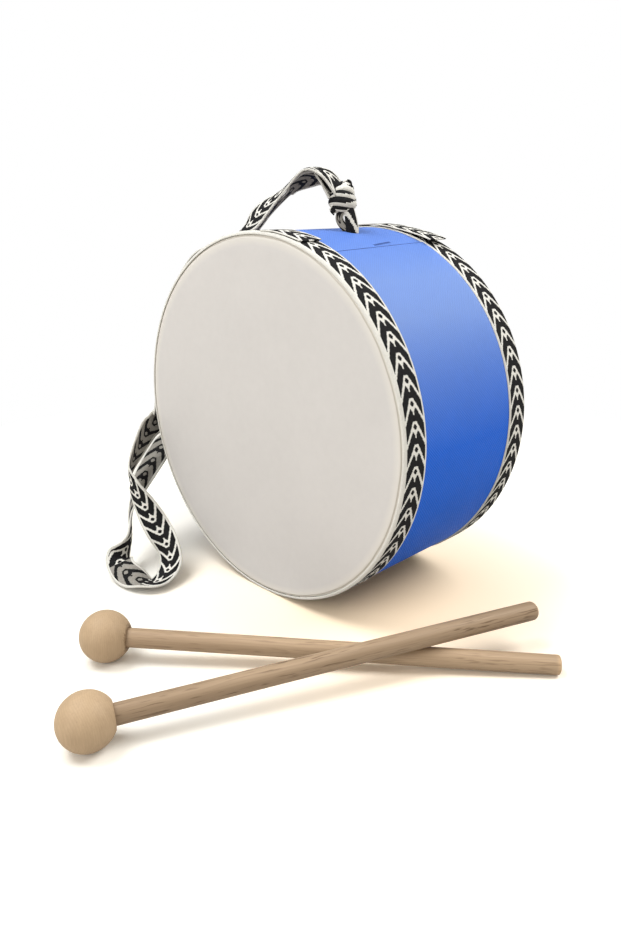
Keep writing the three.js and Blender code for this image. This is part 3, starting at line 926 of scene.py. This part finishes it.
class DRUM_OT_heads(bpy.types.Operator):
    """Make both heads, each a flat skin turned over the rim"""
    bl_idname = "drum.heads"
    bl_label = "Heads"

    def execute(self, context):
        size = sizes()
        edge, sheet, skirt = size.head_edge, size.sheet, 11 * MM
        corner = (HEAD_R - edge, FACE - edge)
        outside = arc(corner, edge, 90, 0, 8)
        inside = arc(corner, edge - sheet, 0, 90, 6)
        hem = [(HEAD_R, FACE - skirt), (HEAD_R - sheet, FACE - skirt)]
        rings = [(HEAD_R * k / 12, FACE) for k in range(12)]
        profile = rings + outside + hem + inside + [(0, FACE - sheet)]
        for node, turn in (("front_head", math.pi / 2), ("rear_head", -math.pi / 2)):
            place = Matrix.Translation(CENTRE) @ Matrix.Rotation(turn, 4, "X")
            head = spun(node + "_skin", profile, 240, [material("drum_skin", skin)], place)
            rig.replaces(head, node)
            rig.ride(head, "drum")
            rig.slot(head, "head")
        return {"FINISHED"}


class DRUM_OT_cover(bpy.types.Operator):
    """Make the blue sheet round the shell, with its seam, slit and strap hole"""
    bl_idname = "drum.cover"
    bl_label = "Cover"

    def execute(self, context):
        start, end = SEAM_ANGLE - 7, SEAM_ANGLE + 360
        lip_h, lip_w = 0.32 * MM, 1.1 * MM  # the slit's edges stand up a little
        fade = 40  # degrees from the seam in which its lean dies away
        bm = bmesh.new()
        bmesh.ops.create_grid(bm, x_segments=440, y_segments=52, size=1)
        for vert in bm.verts:
            vert.co = ((vert.co.x + 1) / 2 * (end - start) + start, vert.co.y * COVER_HALF, 0)
        near = [e for e in bm.edges if self.by_slit((e.verts[0].co + e.verts[1].co) / 2) < 4 * MM]
        bmesh.ops.subdivide_edges(bm, edges=near, cuts=3, use_grid_fill=True)
        lay_weave(bm, lambda loop: (math.radians(loop.vert.co.x) * COVER_R, loop.vert.co.y))
        for vert in bm.verts:
            angle, y = vert.co.x, vert.co.y
            climb = max(0.0, (angle - (end - SEAM_LAP)) / SEAM_LAP)
            lip = lip_h * math.exp(-(self.by_slit(vert.co) / lip_w) ** 2)
            by_seam = max(0, 1 - (angle - start) / fade, 1 - (end - angle) / fade)
            skew = SEAM_SKEW * y * by_seam
            vert.co = around(angle + skew, COVER_R + SEAM_STEP * climb + lip, y)
        cover = new_object("shell_cover_sheet", bm, [material("blue_sheet", blue_sheet)])
        solid = cover.modifiers.new("thickness", "SOLIDIFY")
        solid.thickness = sizes().sheet
        solid.offset = -1
        self.cut(cover)
        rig.replaces(cover, "shell_cover")
        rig.ride(cover, "drum")
        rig.slot(cover, "cover")
        return {"FINISHED"}

    def by_slit(self, spot):
        """Distance to the slit of a spot on the unrolled sheet (degrees, metres)."""
        y = min(max(spot.y, SLIT_Y - SLIT_L / 2), SLIT_Y + SLIT_L / 2)
        middle = SLIT_ANGLE + SLIT_SKEW * (y - SLIT_Y) / SLIT_L
        return math.hypot(math.radians(spot.x - middle) * COVER_R, spot.y - y)

    def cut(self, cover):
        """Opens the slit and the strap's hole."""
        drill, knife = bmesh.new(), bmesh.new()
        at = Matrix.Translation(around(HOLE_ANGLE, COVER_R, HOLE_Y))
        turn = Matrix.Rotation(math.radians(90 - HOLE_ANGLE), 4, "Y")
        bmesh.ops.create_cone(
            drill, cap_ends=True, segments=48, radius1=HOLE_R, radius2=HOLE_R, depth=16 * MM,
            matrix=at @ turn)
        at = Matrix.Translation(around(SLIT_ANGLE, COVER_R, SLIT_Y))
        lean = math.atan(math.radians(SLIT_SKEW) * COVER_R / SLIT_L)
        turn = Matrix.Rotation(-math.radians(SLIT_ANGLE), 4, "Y") @ Matrix.Rotation(lean, 4, "X")
        size = Matrix.Diagonal((6 * MM, SLIT_L, SLIT_W, 1))
        bmesh.ops.create_cube(knife, size=1, matrix=at @ turn @ size)
        cutters = [new_object("hole_cutter", drill), new_object("slit_cutter", knife)]
        for cutter in cutters:
            hole = cover.modifiers.new("hole", "BOOLEAN")
            hole.operation = "DIFFERENCE"
            hole.solver = "EXACT"
            hole.object = cutter
        apply_modifiers(cover)
        for cutter in cutters:
            bpy.data.objects.remove(cutter)


class DRUM_OT_bands(bpy.types.Operator):
    """Make the woven ribbons round both rims, with their lapped ends"""
    bl_idname = "drum.bands"
    bl_label = "Rim ribbons"

    lip_r = 1.6 * MM  # the ribbon turns over the rim on this radius
    lip_turn = 98  # degrees that it turns there
    back_edge = 15.6 * MM  # from the face to the ribbon's edge on the blue sheet

    def execute(self, context):
        for node, side, phase in (("front_band", -1, 5.20), ("rear_band", 1, 0.17)):
            band = joined(node + "_woven", [self.ring(side, phase), self.lap(side, phase)])
            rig.replaces(band, node)
            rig.ride(band, "drum")
            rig.slot(band, "ribbon")
        return {"FINISHED"}

    def ring(self, side, phase):
        thick = 1.1 * MM
        pivot = (BAND_R - self.lip_r, FACE - 0.1 * MM - self.lip_r)
        outside = [(BAND_R, FACE - self.back_edge * (1 - k / 12) - 2 * MM * k / 12) for k in range(12)]
        lip = arc(pivot, self.lip_r, 0, self.lip_turn, 8)
        under = arc(pivot, self.lip_r - thick + 0.2 * MM, self.lip_turn, 0, 8)
        profile = outside + lip + under + [(BAND_R - thick, FACE - self.back_edge)]
        turn = Matrix.Rotation(math.pi / 2 * -side, 4, "X")
        obj = spun("ring", profile, 288, ribbon_materials(), turn)
        bm = bmesh.new()
        bm.from_mesh(obj.data)

        def spot(loop):
            co, middle = loop.vert.co, loop.face.calc_center_median()
            face_angle = math.atan2(middle.z, middle.x)
            past = math.remainder(math.atan2(co.z, co.x) - face_angle, 2 * math.pi)
            return (face_angle + past - math.radians(phase)) * BAND_R, self.across(co, pivot, side)

        lay_weave(bm, spot)
        for vert in bm.verts:
            self.wander(vert, side)
        bmesh.ops.translate(bm, vec=CENTRE, verts=bm.verts)
        bm.to_mesh(obj.data)
        bm.free()
        return obj

    def across(self, co, pivot, side):
        """Where on the ribbon's width a point of the ring lies, from its middle line."""
        r, deep = math.hypot(co.x, co.z), FACE - abs(co.y)
        half, straight = sizes().ribbon_width / 2, FACE - pivot[1]
        if deep >= straight:
            return side * (half - deep)
        turn = math.atan2(straight - deep, r - pivot[0])
        return side * (half - straight + self.lip_r * turn)

    def wander(self, vert, side):
        """Small waves of a ribbon that was glued on by hand."""
        angle = math.atan2(vert.co.z, vert.co.x)
        out = Vector((math.cos(angle), 0, math.sin(angle)))
        where = out + Vector((0, side * 3, 0))
        wave = noise.noise(where * 3.1) * 0.22 * MM + noise.noise(where * 9) * 0.10 * MM
        lift = abs(noise.noise(where * 7 + Vector((5, 0, 0)))) * 0.22 * MM
        if vert.co.z < -0.95 * BAND_R:
            lift = 0.0  # pressed flat by the floor
        share = min(1.0, (FACE - abs(vert.co.y)) / (6 * MM))
        vert.co += (Vector((0, wave, 0)) + out * lift) * share

    def lap(self, side, phase):
        """The free end that lies over the ribbon's start."""
        # degrees where it starts and ends, then millimetres that it lies off, lifts and drifts
        lays = {-1: (88, 72, 0.62, 0.2, 0.9), 1: (106, 65.3, 0.95, 2.4, 0.3)}
        root, free, off, lift, drift = lays[side]
        leaves = 80  # degrees where it begins to lift
        width = 15.2 * MM
        path, steps = [], 40
        middle_y = side * (FACE - 0.6 * MM - width / 2)
        for i in range(steps + 1):
            t = i / steps
            angle = root + (free - root) * t
            raised = max(0.0, (leaves - angle) / (leaves - free))
            rise = (off + lift * raised**1.5) * min(1.0, 3 * t + 0.1)
            path.append(around(angle, BAND_R + rise * MM, middle_y - side * drift * MM * t))
        start = math.radians(root - phase) * BAND_R
        strip = woven_strip(
            "lap", path, [Vector((0, width, 0))] * len(path), (-width / 2, width / 2),
            lambda along: start - along, 0.6 * sizes().ribbon_thickness, rows=48)
        # the cut end has frayed, more at its corners
        onward = (path[-1] - path[-2]).normalized()
        for vert in strip.data.vertices:
            past = (vert.co - path[-1]).dot(onward)
            aside = abs(vert.co.y - path[-1].y) / (width / 2)
            if past > -0.3 * MM:
                torn = noise.noise(Vector((0.5, vert.co.y / MM * 1.7, 3 * side)))
                vert.co += onward * (0.7 * torn - 0.9 * aside**4) * MM
        return strip


class DRUM_OT_mallets(bpy.types.Operator):
    """Make both mallets, each a turned ball on a dowel"""
    bl_idname = "drum.mallets"
    bl_label = "Mallets"

    ball_r = 12.75 * MM
    stick_r = 4.75 * MM
    stick_l = 219.5 * MM

    def execute(self, context):
        for name, spec in MALLETS.items():
            low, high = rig.box(name + "_ball")
            middle = (low + high) / 2
            way = pointing(spec["heading"], self.slope(name, middle))
            turn = way.to_track_quat("Z", "X")
            place = Matrix.Translation(middle) @ turn.to_matrix().to_4x4()
            across = (turn @ Quaternion((0, 1, 0), math.pi / 2)).to_euler()
            ball_wood = material(
                name + "_ball_wood", wood, colour("ball"), middle, across, fleck=0.10, band=0.25,
                rough=0.55, lines=0.24, torn=(spec["torn"], self.neck()))
            stick_wood = material(
                name + "_stick_wood", wood, shaded(colour("dowel"), spec["tone"]), middle,
                turn.to_euler(), spec["fleck"], band=0.8, rough=0.5, lines=0.5, end=self.stick_l)
            ball = spun(name + "_turned_ball", self.ball_profile(), 96, [ball_wood], place)
            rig.replaces(ball, name + "_ball")
            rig.ride(ball, name)
            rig.slot(ball, "ball")
            stick = spun(
                name + "_dowel", self.stick_profile(spec["end_round"]), 64, [stick_wood], place)
            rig.replaces(stick, name + "_stick")
            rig.ride(stick, name)
            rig.slot(stick, "dowel")
        return {"FINISHED"}

    def slope(self, name, middle):
        """Slope of a stick: one has its free end on the floor, and the other lies over it."""
        if name == "mallet_2":
            return -math.degrees(math.asin((middle.z - FLOOR - self.stick_r) / self.stick_l))
        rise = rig.box(name + "_stick")[1].z - middle.z - 0.75 * self.stick_r
        return math.degrees(math.asin(rise / self.stick_l))

    def neck(self):
        """How far along the stick the ball's flat neck lies from the ball's middle."""
        return math.sqrt(self.ball_r**2 - (self.stick_r + 1.5 * MM)**2)

    def ball_profile(self):
        r, bore, rim = self.ball_r, self.stick_r + 0.15 * MM, self.neck()
        outside = arc((0, 0), r, -90, math.degrees(math.asin(rim / r)), 40)
        outside[0] = (0, -r)
        return outside + [
            (bore + 0.9 * MM, rim + 0.10 * MM), (bore + 0.3 * MM, rim + 0.02 * MM),
            (bore, rim - 0.3 * MM), (bore, -5.2 * MM), (0, -5.2 * MM)]

    def stick_profile(self, end_round):
        r, end = self.stick_r, self.stick_l
        start = [(0, -5 * MM), (r - 0.5 * MM, -5 * MM), (r, -4.5 * MM)]
        body = [(r, end * k / 12) for k in range(12)]
        if end_round > 2 * MM:
            dome = [(x * r, end - end_round + y * end_round) for x, y in arc((0, 0), 1, 0, 90, 10)[:-1]]
        else:
            dome = arc((r - end_round, end - end_round), end_round, 0, 90, 5)
        return start + body + dome + [(0, end)]


class DRUM_OT_inside(bpy.types.Operator):
    """Give the board shell, the rings and the peg inside the drum their wood"""
    bl_idname = "drum.inside"
    bl_label = "Inner parts"

    def execute(self, context):
        turn = (math.pi / 2, 0, 0)
        board = material(
            "shell_board", wood, colour("board"), CENTRE, turn, fleck=0.3, band=0.6, rough=0.7)
        for node in ("shell_tube", "front_inner_ring", "rear_inner_ring", "strap_top_peg"):
            mesh = frame["nodes"][node].data
            mesh.materials.clear()
            mesh.materials.append(board)
        return {"FINISHED"}


class DRUM_OT_stage(bpy.types.Operator):
    """Lay a pale floor and set soft light"""
    bl_idname = "drum.stage"
    bl_label = "Stage"

    def execute(self, context):
        scene = context.scene
        scene.view_settings.view_transform = "Standard"
        self.floor()
        self.world(scene)
        self.lamp("key", (-0.5, -0.45, 1.4), 0.9, 15, (0.98, 0.99, 1.0))
        self.lamp("top", (0.5, 0.6, 1.0), 0.8, 9.5, (1.0, 0.99, 0.97))
        self.lamp("front", (0.1, -1.4, 0.75), 1.2, 9, (1.0, 0.975, 0.94))
        return {"FINISHED"}

    def floor(self):
        bm = bmesh.new()
        bmesh.ops.create_grid(bm, x_segments=2, y_segments=2, size=3)
        floor = new_object("floor", bm, [material("floor", self.ground)])
        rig.stage(floor)

    def ground(self, g):
        """Nodes of the floor: plain to the light, paler to the camera and white far off."""
        plain = g.add("BsdfDiffuse", {"Color": (0.62, 0.60, 0.57, 1)})
        # painted warm shade: the floor is warmer close to the drum's right side, to tint the drum's shadow there
        by_drum = g.add("VectorMath", {0: g.place(location=CENTRE + Vector((50, -10, 0)) * MM)},
                        out=1, operation="LENGTH")
        warm_shadow_tint = g.range(by_drum, 0.10, 0.17, 1, 0)
        near = g.add("BsdfDiffuse", {
            "Color": g.mix(warm_shadow_tint, (1.13, 1.11, 1.04, 1), (1.28, 1.04, 0.76, 1))})
        far = g.add("Emission", {"Color": (1, 1, 1, 1), "Strength": 1.0})
        x, y = g.parts(g.place(location=CENTRE))[:2]
        shown = g.add("MixShader", {0: g.range(g.distance(x, y), 0.26, 0.44), 1: near, 2: far})
        g.node("OutputMaterial", {0: g.add("MixShader", {0: g.seen(), 1: plain, 2: shown})})

    def world(self, scene):
        world = bpy.data.worlds.new("studio")
        world.use_nodes = True
        g = Graph(world.node_tree)
        seen = g.seen()
        strength = g.range(seen, 0, 1, 0.38, 1.0)
        tint = g.mix(seen, (1, 0.965, 0.91, 1), (1, 1, 1, 1))
        g.node("OutputWorld", {0: g.add("Background", {"Color": tint, "Strength": strength})})
        scene.world = world

    def lamp(self, name, place, size, power, tint):
        data = bpy.data.lights.new(name, "AREA")
        data.shape = "DISK"
        data.size = size
        data.energy = power
        data.color = tint
        lamp = bpy.data.objects.new(name, data)
        bpy.context.scene.collection.objects.link(lamp)
        lamp.location = place
        lamp.rotation_euler = (CENTRE - lamp.location).to_track_quat("-Z", "Y").to_euler()


class DRUM_PT_panel(bpy.types.Panel):
    """Drum tools in the sidebar"""
    bl_idname = "DRUM_PT_panel"
    bl_label = "Drum"
    bl_space_type = "VIEW_3D"
    bl_region_type = "UI"
    bl_category = "Drum"

    def draw(self, context):
        settings = context.scene.drum_set
        for group in (settings.sizes, settings.colours):
            box = self.layout.box()
            for name in group.__annotations__:
                box.prop(group, name)
        for operator in OPERATORS:
            self.layout.operator(operator.bl_idname)


# In the order in which they run: the camera and the cord come first
OPERATORS = (
    DRUM_OT_camera,
    DRUM_OT_knot,
    DRUM_OT_strap,
    DRUM_OT_heads,
    DRUM_OT_cover,
    DRUM_OT_bands,
    DRUM_OT_mallets,
    DRUM_OT_inside,
    DRUM_OT_stage,
)
CLASSES = (DrumSizes, DrumColours, DrumSettings, *OPERATORS, DRUM_PT_panel)


def register():
    for cls in CLASSES:
        bpy.utils.register_class(cls)
    bpy.types.Scene.drum_set = PointerProperty(
        type=DrumSettings, name="Drum set", description="Sizes and colours of the drum set")


def unregister():
    del bpy.types.Scene.drum_set
    for cls in reversed(CLASSES):
        bpy.utils.unregister_class(cls)


def main():
    register()
    for operator in OPERATORS:
        family, name = operator.bl_idname.split(".")
        getattr(getattr(bpy.ops, family), name)()
    bpy.context.view_layer.update()
    boxes = {"cad": [list(corner) for corner in CAD_BOX],
             "visual": [list(corner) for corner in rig.bounds()]}
    with open("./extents.json", "w") as file:
        json.dump(boxes, file)


if __name__ == "__main__":
    main()
